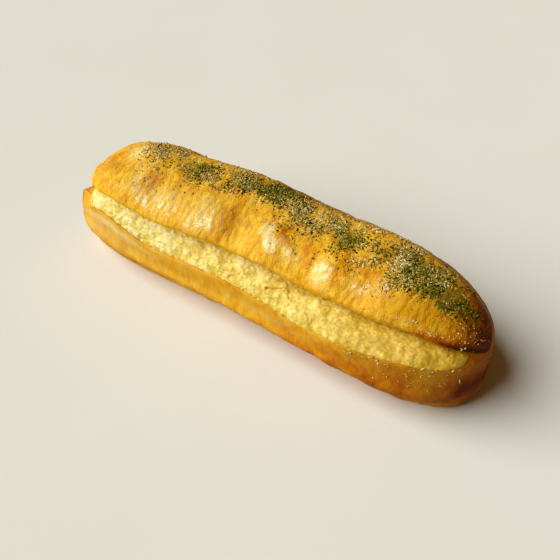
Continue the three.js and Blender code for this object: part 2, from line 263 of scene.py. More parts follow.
# %% [markdown]
# ## From a flat grid to a closed skin
#
# Blender's grid operator makes the faces. Its two directions become the two numbers of a
# place on the bread, and the vertices are moved there. The stations are spaced evenly round
# the roll's outline seen from above, so that they crowd where the ends turn in. Then the
# seam is merged, the two tips are filled, and the normals are made to point outwards.

# %% Even stations, and a grid wrapped to a tube
HALF_WIDTH, BLUNTNESS = 30, 3.8  # the outline seen from above, roughly
OUTLINE_STEPS = 20001
SEAM = 1e-5  # vertices this close are one


def even_stations(count, left, right):
    """Places along the roll from -left to right, in millimetres."""
    x = np.linspace(-left, right, OUTLINE_STEPS)
    share = np.abs(x) / np.where(x < 0, left, right) * END
    outline = np.stack([x, HALF_WIDTH * np.sqrt(1 - share**BLUNTNESS)], -1)
    walked = np.concatenate([[0], np.cumsum(np.linalg.norm(np.diff(outline, axis=0), axis=1))])
    return np.interp(np.linspace(0, walked[-1], count), walked, x)


def wrapped_grid(points, values):
    """A closed tube through points[station, round], with named values stored on its vertices."""
    stations, around = points.shape[:2]
    bm = bmesh.new()
    bmesh.ops.create_grid(bm, x_segments=stations - 1, y_segments=around - 1, size=1)
    layers = [(bm.verts.layers.float.new(name), array) for name, array in values.items()]
    for v in bm.verts:
        i = round((v.co.x + 1) / 2 * (stations - 1))
        k = round((v.co.y + 1) / 2 * (around - 1))
        v.co = points[i, k]
        for layer, array in layers:
            v[layer] = array[i, k]
    bmesh.ops.remove_doubles(bm, verts=bm.verts, dist=SEAM)
    rims = [e for e in bm.edges if e.is_boundary]
    caps = bmesh.ops.holes_fill(bm, edges=rims)["faces"]
    bmesh.ops.triangulate(bm, faces=caps)
    bmesh.ops.recalc_face_normals(bm, faces=bm.faces)
    return bm


def finished(bm, name, material):
    """Scales to metres, counts the open edges, and makes the object."""
    bmesh.ops.scale(bm, vec=(MM, MM, MM), verts=bm.verts)
    bmesh.ops.triangulate(bm, faces=[f for f in bm.faces if len(f.verts) > 4])
    mesh = bpy.data.meshes.new(name)
    open_edges = sum(not e.is_manifold for e in bm.edges)
    bm.to_mesh(mesh)
    bm.free()
    mesh.shade_smooth()
    mesh.materials.append(material)
    obj = bpy.data.objects.new(name, mesh)
    bpy.context.collection.objects.link(obj)
    triangles = sum(len(p.vertices) - 2 for p in mesh.polygons)
    print(f"{name}: {triangles} triangles, {open_edges} open edges")
    return obj


# %% [markdown]
# ## Shader shorthand
#
# A node tree is easier to read as a formula. A `Wire` is a socket, and arithmetic on wires
# adds Math nodes. A `Finish` is a material under construction, and its one method `node` adds
# any other node: the type first, then its settings, then what goes into its sockets.


# %% Wires
class Wire:
    def __init__(self, finish, socket):
        self.finish, self.socket = finish, socket

    def math(self, operation, *values):
        settings = dict(operation=operation)
        return self.finish.node("ShaderNodeMath", settings, dict(enumerate(values)))

    def __add__(self, other): return self.math("ADD", self, other)
    def __radd__(self, other): return self.math("ADD", other, self)
    def __sub__(self, other): return self.math("SUBTRACT", self, other)
    def __rsub__(self, other): return self.math("SUBTRACT", other, self)
    def __mul__(self, other): return self.math("MULTIPLY", self, other)
    def __rmul__(self, other): return self.math("MULTIPLY", other, self)

    def ramp(self, low, high):
        """0 at low, 1 at high, smooth between them."""
        return self.finish.node(
            "ShaderNodeMapRange", dict(interpolation_type="SMOOTHSTEP", clamp=True),
            {"Value": self, "From Min": low, "From Max": high, "To Min": 0.0, "To Max": 1.0})


# %% Finishes
MIX_FACTOR, MIX_A, MIX_B, MIX_RESULT = 0, 6, 7, 2  # the sockets of a Mix node set to colours


class Finish:
    def __init__(self, name, **constants):
        self.material = bpy.data.materials.new(name)
        self.material.use_nodes = True
        self.nodes = self.material.node_tree.nodes
        self.links = self.material.node_tree.links
        self.shader = self.nodes["Principled BSDF"]
        for socket, value in constants.items():
            self.shader.inputs[socket.replace("_", " ")].default_value = value

    def feed(self, socket, value):
        if isinstance(value, Wire):
            self.links.new(value.socket, socket)
        else:
            socket.default_value = value

    def node(self, kind, settings=None, inputs=None, output=0):
        made = self.nodes.new(kind)
        settings = dict(settings or {})
        stops = settings.pop("stops", None)
        for name, value in settings.items():
            setattr(made, name, value)
        if stops:
            ramp = made.color_ramp
            while len(ramp.elements) < len(stops):
                ramp.elements.new(0.5)
            for element, (position, colour) in zip(ramp.elements, stops):
                element.position, element.color = position, colour
        for name, value in (inputs or {}).items():
            self.feed(made.inputs[name], value)
        return Wire(self, made.outputs[output])

    def noise(self, size, detail=2.0, where=None, roughness=0.5):
        """Soft random cloud whose lumps are about size millimetres."""
        inputs = {"Scale": 1 / (size * MM), "Detail": detail, "Roughness": roughness}
        inputs["Vector"] = where or self.place()
        return self.node("ShaderNodeTexNoise", {}, inputs)

    def place(self):
        return self.node("ShaderNodeTexCoord", output="Object")

    def stretched(self, *scale):
        """Object coordinates, squeezed so that patterns stretch the other way."""
        settings = dict(operation="MULTIPLY")
        return self.node("ShaderNodeVectorMath", settings, {0: self.place(), 1: scale})

    def attribute(self, name):
        return self.node("ShaderNodeAttribute", dict(attribute_name=name), output="Fac")

    def blend(self, a, b, share, how="MIX"):
        """Mixes two colours."""
        settings = dict(data_type="RGBA", blend_type=how)
        inputs = {MIX_FACTOR: share, MIX_A: a, MIX_B: b}
        return self.node("ShaderNodeMix", settings, inputs, output=MIX_RESULT)

    def colours(self, value, scale):
        stops = [(at, paint(code)) for at, code in scale]
        return self.node("ShaderNodeValToRGB", dict(stops=stops), {0: value})

    def bump(self, height, depth, under=None):
        """Fine relief, depth in millimetres."""
        inputs = {"Height": height, "Strength": 1.0, "Distance": depth * MM}
        if under:
            inputs["Normal"] = under
        return self.node("ShaderNodeBump", {}, inputs)

    def done(self, **wires):
        for socket, value in wires.items():
            self.feed(self.shader.inputs[socket.replace("_", " ")], value)
        print(f"{self.material.name}: {len(self.nodes)} nodes")
        return self.material


def paint(code):
    """A colour picked as on screen, for the shader."""
    parts = [int(code[k : k + 2], 16) / 255 for k in (0, 2, 4)]
    return (*[c / 12.92 if c <= 0.04045 else ((c + 0.055) / 1.055) ** 2.4 for c in parts], 1.0)


# %% [markdown]
# ## Crust
#
# Baked crust is browned by degrees: pale where another roll or the lid shaded it, golden
# where the egg wash lay, red-brown at thin edges. A list of soft spots says where the roll is
# more or less browned, and towards the +X end the same spots also darken it as painted shade.
# They are stored on the mesh, and the material breaks them up with noise and looks the colour
# up in a browning scale. Butter and oil from the filling soak into the lip and give it a deep
# yellow of its own; where the lid turns under, that deep yellow is also painted shade and
# painted yellow light bounced from the mash. Pale cream streaks are partly pale crust and
# partly painted highlights of the glaze.

# %% Where the bread is browned, buttered, creamy and dusted with herb, and where shade, bounced light and highlights are painted
BROWNED_AND_SHADED = [  # in all four lists: x, across, reach in both, amount
    (-70, 3.6, 11, 1.6, 0.10), (-47, 3.3, 7, 1.1, 0.18), (-12, 3.0, 8, 1.5, 0.18),
    (10, 3.3, 6, 1.0, 0.17), (22, 3.3, 6, 1.1, 0.14), (34, 3.2, 6, 1.1, 0.19),
    (44, 3.5, 8, 1.4, 0.10), (5, 5.6, 26, 1.3, 0.24), (50, 5.8, 30, 1.2, 0.10),
    (95, 3.0, 26, 5.0, 0.70), (78, 1.6, 22, 1.0, 0.40), (80, 4.9, 16, 1.8, 0.20),
    (96, 13.0, 25, 4.0, 0.56), (60, 13.2, 50, 2.8, 0.22), (20, 12.0, 60, 1.6, 0.20),
    (-50, 12.2, 60, 1.2, 0.22), (28, 13.4, 56, 2.0, 0.08), (0, 8.5, 110, 2.2, 0.20),
    (80, 8.5, 34, 3.4, 0.34), (-84, 15.0, 12, 2.0, 0.32),
]
# butter soaked in, and at the lip (across about 1.5) painted shade and yellow light bounced from the
# mash under the lid
BUTTERED_AND_BOUNCE_LIT = [
    (-62, 1.5, 30, 1.0, 0.9), (-20, 1.5, 50, 0.9, 0.8), (30, 1.5, 40, 0.8, 0.8),
    (-74, 14.4, 22, 1.2, 0.4), (33, 3.4, 12, 0.8, 0.4), (68, 2.9, 14, 1.2, 0.8),
    (-20, 14.6, 60, 0.8, 0.5), (50, 14.6, 50, 0.9, 0.35), (56, 2.7, 14, 1.2, 0.5),
]
# pale cream patches, and on the lid's front painted highlights where the glaze mirrors the window
CREAM_AND_HIGHLIGHT_SPOTS = [
    (-68, 3.4, 12, 1.6, 0.35), (-60, 4.4, 9, 0.8, 1.1), (-52, 3.7, 12, 0.9, 0.5),
    (-50, 2.8, 12, 0.9, 0.6), (-38, 2.8, 14, 1.2, 0.75), (-20, 2.6, 14, 1.2, 0.75),
    (4, 3.3, 5, 0.5, 1.3), (8, 2.9, 5, 0.6, 1.3), (15, 2.8, 9, 0.7, 0.8),
    (29, 2.6, 8, 1.1, 1.2), (42, 2.7, 9, 0.7, 0.6), (49, 3.1, 8, 0.6, 0.8),
    (62, 2.3, 6, 0.4, 0.5), (-52, 14.6, 34, 0.4, 0.7), (-20, 3.2, 60, 1.8, 0.3),
    (-60, 13.9, 66, 1.6, 0.62), (20, 14.2, 40, 1.0, 0.5),
]
HERBED = [
    (-52, 4.6, 14, 0.6, 0.4), (-36, 4.4, 14, 0.7, 1.1), (-18, 4.6, 14, 0.6, 0.8),
    (-2, 4.7, 14, 0.7, 1.4), (12, 4.3, 12, 0.8, 0.7), (30, 4.3, 14, 0.9, 1.0),
    (52, 4.3, 14, 1.1, 1.3), (66, 4.2, 13, 1.1, 1.4), (76, 4.0, 9, 1.3, 0.9),
    (-8, 5.2, 60, 0.8, 0.4), (70, 3.5, 4, 0.4, 0.8),
]
PALE = 0.36  # how browned the crust is away from all the spots
CRUMB = 0.1  # and the soft bread in the slit
print("spots on the bread:", sum(map(len, (BROWNED_AND_SHADED, BUTTERED_AND_BOUNCE_LIT, CREAM_AND_HIGHLIGHT_SPOTS, HERBED))))

# %% [markdown]
# The egg wash dries to a thin uneven glaze over wrinkled crust. A painted picture could show
# it from one side only, so the finish is a formula: two layers of noise, coarse folds and fine
# crackle, break up the browning and its painted shade, the butter and its painted bounced
# light, and the cream and its painted highlights. The same two make the relief and the streaks
# of gloss, so that colour and shine belong to the same wrinkles. Little light is mirrored away
# from those streaks, because a mirrored room would wash out the deep yellow. Towards the +X end,
# and on the bread away from the lid's front, the colour is darkened further as painted shade.

# %% The crust's finish
BROWNING = (
    (0.0, "f6dd8c"), (0.22, "f2c848"), (0.40, "e6a820"), (0.58, "c8760a"), (0.78, "863c0a"),
    (1.0, "451804"))
BUTTER_AND_BOUNCE, CREAM_AND_HIGHLIGHT, HERB_DUST = paint("dfa400"), paint("f8e090"), paint("7a6c1c")
PAINTED_END_SHADE, DULLER_TIP, PAINTED_BASE_SHADE = paint("c8b464"), paint("d8d4ee"), paint("f0eeff")
END_SHADE_FROM, END_SHADE_TO = 0.03, 0.08  # where the painted shade of the +X end begins and where it is full, along the roll, in metres, as Object coordinates are
DULLER_FROM, DULLER_TO = -0.078, -0.085
f = Finish(
    "egg_washed_crust", Subsurface_Weight=0.06, Subsurface_Scale=1.0 * MM,
    Specular_IOR_Level=0.03, Coat_Roughness=0.18)
f.shader.inputs["Subsurface Radius"].default_value = (1.0, 0.55, 0.2)
wrinkled = f.attribute("wrinkled")
folds = (f.noise(2.6, 5, where=f.stretched(1.5, 0.8, 0.8), roughness=0.6) - 0.5) * wrinkled
crackle = (f.noise(0.8, 3, where=f.stretched(1.3, 0.9, 0.9), roughness=0.6) - 0.5) * wrinkled
# browning, with painted shade towards the +X end
toast_and_shade = f.attribute("toast_and_shade") + 0.42 * (f.noise(7, 3) - 0.5) + 0.8 * folds + 0.26 * crackle
base_colour = f.colours(toast_and_shade, BROWNING)
# deep yellow: soaked butter, and under the lid's lip painted shade and painted bounced light
butter_and_bounce = f.attribute("butter_and_bounce") * (0.55 + 0.9 * f.noise(4, 2))
base_colour = f.blend(base_colour, BUTTER_AND_BOUNCE, butter_and_bounce.ramp(0.1, 0.95) * 0.85)
# pale streaks: partly pale crust, partly painted highlights of the glaze; the coat below adds real
# gloss on them
cream_and_highlight = (0.8 * f.attribute("cream_and_highlight") + 2.0 * folds + 1.2 * crackle).ramp(0.25, 1.05)
base_colour = f.blend(base_colour, CREAM_AND_HIGHLIGHT, cream_and_highlight * 0.85)
grit = f.attribute("herb") + 0.9 * (f.noise(0.8, 4) - 0.5) + 0.8 * (f.noise(3, 2) - 0.5)
base_colour = f.blend(base_colour, HERB_DUST, grit.ramp(0.3, 1.2) * 0.8)
length_way = f.node("ShaderNodeSeparateXYZ", inputs={0: f.place()})
# painted shade: towards the +X end the crust is darkened, where a real window's light would fall off
end_shade = length_way.ramp(END_SHADE_FROM, END_SHADE_TO) * 0.8
left_tip = length_way.ramp(DULLER_FROM, DULLER_TO)
base_colour = f.blend(base_colour, PAINTED_END_SHADE, end_shade, how="MULTIPLY")
base_colour = f.blend(base_colour, DULLER_TIP, left_tip, how="MULTIPLY")
# painted shade: the bread away from the lid's wrinkled front, the base most of all, is darkened a
# little
base_colour = f.blend(base_colour, PAINTED_BASE_SHADE, wrinkled.ramp(0.8, 0.4), how="MULTIPLY")
relief = f.bump(folds, 0.7, f.bump(crackle, 0.24))
gloss = (0.14 + 1.1 * cream_and_highlight) * (0.5 * crackle + 0.5 * folds).ramp(-0.03, 0.08)
crust_material = f.done(
    Base_Color=base_colour, Roughness=0.55 + 0.3 * f.noise(3, 3), Coat_Weight=gloss,
    Normal=relief)

# %% [markdown]
# The bread is one skin, like the real one: crust outside, and the two cut faces of the slit.
# After the sweep each vertex is pushed in or out a little, because dough never sets as a
# smooth surface: broad soft waves, and finer wrinkles that run across the roll.

# %% Waves and wrinkles of the dough
WAVE_SIZE, WAVE_HEIGHT = 9, 0.5
WRINKLE_SIZE = (1.8, 4.5, 4.5)  # along the roll, to the back and up
WRINKLE_HEIGHT, LID_WRINKLE_HEIGHT = 0.14, 0.18  # everywhere, and on the lid's front as well
OTHER_CLOUD = (0, 0, 7)  # keeps the wrinkles apart from the waves
LID_FRONT, LID_FRONT_REACH = 3.2, 4.5  # where the lid is wrinkled most, counted across
CALM = 0.4  # share of the finish's wrinkles that is left on the rest of the bread
SMOOTH_TIP = 0.012  # the waves fade out over this share of each half


def cloud(point, fade=1.0, octaves=2):
    """Fractal noise. Each octave is half as large as the one before, and fade weakens it."""
    return noise.fractal(Vector(point), fade, 2.0, octaves)


def lid_front(across):
    return hump(across - LID_FRONT, LID_FRONT_REACH)


def dough_waves(points, across, s):
    """Height of the dough's waves over the smooth skin, in millimetres."""
    shape, flat = points.shape[:2], points.reshape(-1, 3)
    broad = np.array([cloud(p) for p in flat / WAVE_SIZE])
    fine = np.array([cloud(p, 0.8, 3) for p in flat / WRINKLE_SIZE + OTHER_CLOUD])
    fine_height = WRINKLE_HEIGHT + LID_WRINKLE_HEIGHT * lid_front(across)
    ends = np.clip((1 - np.abs(s)) / SMOOTH_TIP, 0, 1)
    return (WAVE_HEIGHT * broad.reshape(shape) + fine_height * fine.reshape(shape)) * ends


# %% [markdown]
# The cut faces meet the crust at the lip and at the rim. Where the dough's waves moved the
# crust, the cut faces follow near their edges, so that no gap opens. At the tips a round nub
# closes the slit, and the rim is smoothed, because baked dough has no sharp edge.

# %% The skin
STEADY = 0.985  # beyond this station the direction out of the bread is read here
NUB = 1.3  # height of the round nub between the filling's end and the roll's tip
NUB_ENDS = ((-74, -79), (84, 86.5))
NUB_FADE = 0.08  # share of a half; from there to the tip the nub sinks
EDGE_REACH = 1.2  # how far the cut faces follow the crust, counted across
RIM_BROWNING = 1.5  # and how far the rim's colour reaches into the slit
RIM_ROUNDING = (0.7, 1.5)  # how far the rim is smoothed along the roll, and at its tips
TIP_START, TIP_BLEND = 0.86, 0.06
RIM_SMOOTHINGS = 16
LAYERS = {"toast_and_shade": (BROWNED_AND_SHADED, PALE, CRUMB), "butter_and_bounce": (BUTTERED_AND_BOUNCE_LIT, 0, 0), "cream_and_highlight": (CREAM_AND_HIGHLIGHT_SPOTS, 0, 0),
          "herb": (HERBED, 0, 0)}  # spots, amount on the crust away from them, amount in the slit


def bread_points(out, back, s):
    """Points of the crust at out, and of the cut faces at back, for every station."""
    smooth = crust(out, s)
    normal = outwards(crust, out, np.clip(s, -STEADY, STEADY))
    skin = smooth + normal * dough_waves(smooth, out, s)[..., None]
    skin[..., 2] = np.maximum(skin[..., 2], 0)
    slit = cut_face(back, s)
    tips = past(NUB_ENDS, x_at(s, lid_share(back)))
    slit[..., 2] += NUB * tips * np.sin(math.pi * back / LAST_IN) * (1 - np.abs(s)) / NUB_FADE
    slit += hump(LAST_IN - back, EDGE_REACH)[..., None] * (skin[:, -1:] - smooth[:, -1:])
    slit += hump(back, EDGE_REACH)[..., None] * (skin[:, :1] - smooth[:, :1])
    return np.concatenate([skin, slit], 1)


def bread_values(out, back, s):
    """What the finish reads on the mesh, for every point."""
    values = {}
    near_rim = np.maximum(hump(LAST_IN - back, RIM_BROWNING), slit_closed(back, s))
    for name, (listed, start, crumb) in LAYERS.items():
        outer = start + spots(listed, out, s)
        rim, lip = outer[:, -1:], outer[:, :1]
        inner = mix(mix(crumb, rim, near_rim), lip, hump(back, EDGE_REACH))
        values[name] = np.concatenate([outer, inner], 1)
    from_rim = np.concatenate([LAST_OUT - out, LAST_IN - back], 1) + 0 * s
    at_tip = np.clip((np.abs(s) - TIP_START) / TIP_BLEND, 0, 1)
    values["rim"] = hump(from_rim, mix(*RIM_ROUNDING, at_tip))
    front = np.concatenate([lid_front(out), 0 * back], 1) + 0 * s
    values["wrinkled"] = mix(CALM, 1, front)
    return values


# %% The bread
BREAD_STATIONS = 380
FRONT_STEPS, BACK_STEPS = 130, 86  # round the crust, finer on the front of the lid
FRONT_END = 6  # where the finer steps end, counted across
SLIT_STEPS = 30


def bread():
    s = even_stations(BREAD_STATIONS, LENGTH / 2, LENGTH / 2)[:, None] * END * 2 / LENGTH
    front = np.linspace(0, FRONT_END, FRONT_STEPS)
    out = np.concatenate([front, np.linspace(FRONT_END, LAST_OUT, BACK_STEPS)[1:]])[None]
    turn = np.linspace(0, math.pi, SLIT_STEPS + 1)[None, 1:]
    back = LAST_IN * (1 + np.cos(turn)) / 2
    bm = wrapped_grid(bread_points(out, back, s), bread_values(out, back, s))
    layer = bm.verts.layers.float["rim"]
    rim = [v for v in bm.verts if v[layer] > 0]
    for _ in range(RIM_SMOOTHINGS):
        bmesh.ops.smooth_vert(
            bm, verts=rim, factor=0.5, use_axis_x=True, use_axis_y=True, use_axis_z=True)
    return bm


bread_piece = finished(bread(), "bread", crust_material)
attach(bread_piece, "root")
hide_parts("bun")

# %% [markdown]
# ## Filling
#
# Mashed potato bound with mayonnaise is a heap of soft grains, one to three millimetres
# across, that cling together and shine. Cells of noise give just that: round lumps with
# creases between them. They are real relief here, because they are what the eye reads first.

# %% The filling's sizes, in millimetres
FILLING_ROOF, FILLING_FLOOR = (0.25, 3.3), (4.7, 8.05)  # across: in under the lid, out to the rim
SPILL = (0.6, 0.6, 0.5, 0.5, 0.7, 1, 1, 1, 1)  # how far it spills over the rim along the roll
SPILL_REACH = 0.88
FRAY = 0.05  # how unevenly the mash reaches over the rim
FRAY_WAVES = ((1.7, 0, 0), (0.61, 0, 2))
EDGE_TUCK = 0.5  # how far the mash sinks into the soft crumb at the rim
TOUCH = 0.06  # between mash and bread
FACE_BULGE = (1.6, 2.0, 2.0, 1.9, 2.0, 2.0, 1.9, 1.6, 1.2)
FACE_SWELL = 0.12
FACE_WAVES = ((0.31, -7, 1), (0.55, 4, 0), (0.83, 9, 2))
FACE_LOW, FACE_FALL = 1.3, 0.6  # the face bulges this much more low down, and less higher up
FACE_ROUNDNESS = 0.6
FACE_TILT = math.radians(60)
FILLING_ENDS = ((-69.5, -73.4), (76, 83.2))  # where the ends begin to round off, and where they end
TIP_SHARES = (0.5, 0.6)  # how high up the face each end's tip lies
END_BLUNTNESS = (6, 4)
MASH_STATIONS = 500
WALL_STEPS, MASH_STEPS = 7, 84  # on roof and floor each, and up the face
FACE_FROM = 2 * WALL_STEPS - 1  # the ring's points from here on are its face


# %% Rings of the filling
def off_bread(across, x):
    s = station_at(x, lid_share(across))
    return cut_face(across, s) - TOUCH * outwards(cut_face, across, s)


def waves(listed, x, up):
    """Adds up sines, each given as its pace along the roll, its pace up the face and its start."""
    return sum(np.sin(pace * x + climb * up + start) for pace, climb, start in listed)


def filling_rings(x):
    """Points on the roof, the floor and the bulging face of the filling at x."""
    s = station_at(x, 0)
    wall = np.linspace(0, 1, WALL_STEPS)[None]
    fray = waves(FRAY_WAVES, x, 0)
    rim = FILLING_FLOOR[1] + along(SPILL)(s) * (SPILL_REACH + FRAY * (fray - 1) / 2)
    roof = off_bread(mix(*FILLING_ROOF, wall), x)
    floor = off_bread(mix(FILLING_FLOOR[0], rim, wall), x)
    floor[..., 2] -= EDGE_TUCK * wall**3
    up = np.linspace(0, 1, MASH_STEPS + 1)[None, 1:]
    shape = np.sin(math.pi * up) ** FACE_ROUNDNESS * (FACE_LOW - FACE_FALL * up)
    bulge = (along(FACE_BULGE)(s) + FACE_SWELL * waves(FACE_WAVES, x, up)) * shape
    face = mix(floor[:, -1:], roof[:, :1], up[..., None])
    face = face + bulge[..., None] * np.array((0, -math.cos(FACE_TILT), math.sin(FACE_TILT)))
    return roof, floor, face


def filling_points(x):
    """The rings, drawn together to a round tip at both ends."""
    roof, floor, face = filling_rings(x)
    tip = mix(floor[:, -1:], roof[:, :1], np.where(x < 0, *TIP_SHARES)[..., None])
    blunt = np.where(x < 0, *END_BLUNTNESS)
    size = (1 - END * past(FILLING_ENDS, x) ** blunt) ** (1 / blunt)
    return mix(tip, np.concatenate([roof, floor, face], 1), size[..., None])


# %% [markdown]
# The lumps of the mash are worked out at every point of its face and pushed out along the
# face's own direction. They could be a texture alone, but only real lumps shade each other and
# break the outline of the face. One crack runs through the mash, right of the middle.

# %% Lumps and the crack
FOLD_SIZE, FOLD_HEIGHT = 3.0, 0.60
GRAIN_SIZE, GRAIN_HEIGHT = 1.3, 0.42
HEAP_SIZE, HEAP_HEIGHT = 7, 0.35
CRUMB_SIZE, CRUMB_HEIGHT = 1.1, 0.15
TWIST_SIZE, TWIST = 2.5, 0.9  # bends the cells out of round
TWIST_SEED = 1795552534  # picks one heap of lumps out of many
OTHER_CELLS = Vector((9, 3, 5))  # keeps the grains apart from the folds
CELL_EDGE = 0.45  # this far from its middle, in cells, a lump is at height 0
CRACK = (  # seen from above
    (10.5, -25.2), (12.9, -24.3), (17.4, -22.1), (18.8, -22.6), (18.8, -23.6), (19.8, -24.7))
CRACK_REACH, CRACK_DEPTH, CRACK_HEAD = 0.45, 0.6, 1.1
OIL_AND_SHADE_FROM, OIL_AND_SHADE_OVER = -40, 125  # from here along the roll the mash gets oilier and darker, partly as painted shade
FULL_LUMPS, OIL_SMOOTHS = 1.05, 0.4
END_FADE = 4.8  # how fast the lumps fade out at the ends
noise.seed_set(TWIST_SEED)  # without it, vectors of noise differ from run to run


def lumps(point):
    """Height of the mash's grains and folds at a point, in millimetres."""
    at = Vector(point)
    at = at + TWIST * noise.noise_vector(at / TWIST_SIZE)
    folds = noise.voronoi(at / FOLD_SIZE)[0][0]
    grains = noise.voronoi(at / GRAIN_SIZE + OTHER_CELLS)[0][0]
    cells = FOLD_HEIGHT * (CELL_EDGE - folds) + GRAIN_HEIGHT * (CELL_EDGE - grains)
    return cells + HEAP_HEIGHT * cloud(at / HEAP_SIZE) + CRUMB_HEIGHT * cloud(at / CRUMB_SIZE, 0.8)


def cracked(points):
    """1 in the crack, fading to 0 half a millimetre beside it."""
    away = np.full(points.shape[:-1], np.inf)
    for start, end in zip(CRACK, CRACK[1:]):
        start, step = np.array(start), np.subtract(end, start)
        share = np.clip((points[..., :2] - start) @ step / (step @ step), 0, 1)
        nearest = start + share[..., None] * step
        away = np.minimum(away, np.linalg.norm(points[..., :2] - nearest, axis=-1))
    return hump(away, CRACK_REACH)


def face_outwards(face):
    """The direction out of the filling's face, read from its own points."""
    out = np.cross(np.gradient(face, axis=0), np.gradient(face, axis=1))
    out /= np.linalg.norm(out, axis=-1, keepdims=True) + 1e-12
    return out * np.sign(out[MASH_STATIONS // 2, MASH_STEPS // 2, 2])


def filling():
    (_, left_tip), (_, right_tip) = FILLING_ENDS
    x = even_stations(MASH_STATIONS, -left_tip, right_tip)[:, None]
    points = filling_points(x)
    face = points[:, FACE_FROM:]
    # rises along the roll: oil, and painted shade towards the right end; it also smooths the lumps
    oil_and_shade = np.clip((x - OIL_AND_SHADE_FROM) / OIL_AND_SHADE_OVER, 0, 1)
    height = np.array([lumps(p) for p in face.reshape(-1, 3)]).reshape(face.shape[:2])
    crack = cracked(face)
    fade = np.clip(END_FADE * (1 - past(FILLING_ENDS, x)), 0, 1) + 0 * height
    fade = fade * (FULL_LUMPS - OIL_SMOOTHS * oil_and_shade)
    fade[:, 0] = fade[:, -1] = 0
    relief = height * fade - CRACK_DEPTH * crack
    points[:, FACE_FROM:] = face + face_outwards(face) * relief[..., None]
    grain, split = np.zeros(points.shape[:2]), np.zeros(points.shape[:2])
    grain[:, FACE_FROM:] = height
    head = hump(np.linalg.norm(points[:, FACE_FROM:, :2] - CRACK[0], axis=-1), CRACK_HEAD)
    split[:, FACE_FROM:] = 0.5 * crack + head
    return wrapped_grid(points, {"grain": grain, "oil_and_shade": oil_and_shade + 0 * grain, "split": split})


# %% [markdown]
# Mayonnaise makes the mash pale and slightly wet, and light goes into it, so it has a soft
# glow and a thin coat. Its colour could be one yellow, but the creases are deeper than the
# tops of the lumps and are painted darker as shade, and towards the right end the mash is a
# deeper, darker yellow, partly as if oil had soaked in and partly as painted shade. So the
# height that is stored on the mesh picks the colour, together with the oil and shade value of
# the place.

# %% The filling's finish
MASH_SCALE = ((0.05, "c6a428"), (0.33, "e0c44e"), (0.6, "edd97c"), (0.95, "f9edba"))
OIL_AND_SHADE, CRACK_BROWN = paint("c89a20"), paint("b06c08")
f = Finish(
    "potato_mayonnaise", Subsurface_Weight=0.3, Subsurface_Scale=1.6 * MM, Coat_Weight=0.10,
    Coat_Roughness=0.3, Specular_IOR_Level=0.3)
f.shader.inputs["Subsurface Radius"].default_value = (1.0, 0.7, 0.25)
height, oil_and_shade = f.attribute("grain"), f.attribute("oil_and_shade")
# painted shade: low places between lumps take the darker colours of the scale and tops the paler
# ones, and the right end is darker too
tone_and_shade = 0.58 + 0.8 * height - 0.46 * oil_and_shade + 0.6 * (f.noise(1.1, 4) - 0.5)
mash_colour = f.colours(tone_and_shade, MASH_SCALE)
# painted shade and oil: towards the right end the mash is blended to a deeper, darker yellow
mash_colour = f.blend(mash_colour, OIL_AND_SHADE, (oil_and_shade + 1.0 * (f.noise(2, 3) - 0.5)).ramp(0.45, 1.2))
# painted shade: the crack is coloured brown; the brown spot at its head is a bit on the mash
in_crack = f.attribute("split").ramp(0.1, 1.0) * 0.85
mash_colour = f.blend(mash_colour, CRACK_BROWN, in_crack)
mash_material = f.done(
    Base_Color=mash_colour, Roughness=0.4 + 0.3 * f.noise(1.4, 2),
    Normal=f.bump(f.noise(0.6, 3), 0.11))
filling_piece = finished(filling(), "mash", mash_material)
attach(filling_piece, "root")
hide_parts("filling")
bpy.context.view_layer.update()

# %% [markdown]
# ## Herb and cheese
#
# Dried parsley is crumbled leaf: flat, curled bits about a millimetre across. Grated hard
# cheese is crumbs and short shreds. Both are strewn in patches, so they are scattered round
# the same spots, and noise thins them out between clumps. Each is a small closed solid,
# turned to lie on the crust.

# %% Where they are strewn
HERB_PATCHES = [  # x, across, reach in both, weight
    (-36, 4.4, 13, 0.5, 14), (-3, 4.65, 11, 0.45, 26), (12, 4.3, 10, 0.6, 6),
    (30, 4.3, 13, 0.7, 14), (54, 4.2, 13, 0.8, 22), (64, 4.2, 10, 0.8, 22),
    (76, 4.2, 6, 0.9, 7), (70, 3.5, 2.0, 0.13, 2.4), (-10, 5.0, 50, 0.8, 3),
    (-46, 4.2, 16, 1.0, 3), (30, 3.7, 30, 0.8, 4), (-18, 4.5, 12, 0.5, 10),
    (-50, 4.8, 9, 0.4, 2),
]
CHEESE_PATCHES = [
    (-50, 4.6, 10, 0.45, 10), (-18, 4.7, 12, 0.55, 16), (18, 4.4, 13, 0.6, 18),
    (48, 3.9, 12, 0.9, 22), (44, 5.3, 22, 0.6, 12), (80, 2.9, 8, 0.7, 1),
    (62, 4.5, 12, 0.8, 10), (-36, 4.4, 16, 0.6, 12), (66, 2.2, 14, 0.5, 0.8),
    (62, 14.8, 26, 0.25, 1), (72, 14.2, 12, 0.6, 0.35), (83, 2.2, 4, 0.6, 0.6),
    (2, 4.6, 14, 0.5, 6),
]
FALLEN = ((-8.4, -24.6, 28), (-7.9, -24.9, 28), (13.6, -27.8, 25.5))  # flakes that lie on the mash
ACROSS_STEP = 10  # about how many millimetres one step across is
CLOUD_SLICE = 3.3
THINNING = (-0.55, 0.35)


def scattered(patches, count, clump, draw):
    """Places strewn over the lid: their points, the crust's normals there, thinned to clumps."""
    weights = [p[4] for p in patches]
    places = []
    while len(places) < count:
        x, across, long, wide, _ = draw.choices(patches, weights)[0]
        around = [sum(draw.random() for _ in range(3)) - 1.5 for _ in range(2)]
        here = (x + long * around[0], across + wide * around[1])
        seen = Vector((here[0] / clump, here[1] * ACROSS_STEP / clump, CLOUD_SLICE))
        if noise.noise(seen) > draw.uniform(*THINNING):
            places.append(here)
    x, across = np.array(places).T
    s = station_at(x, 1)
    return crust(across, s), outwards(crust, across, s)


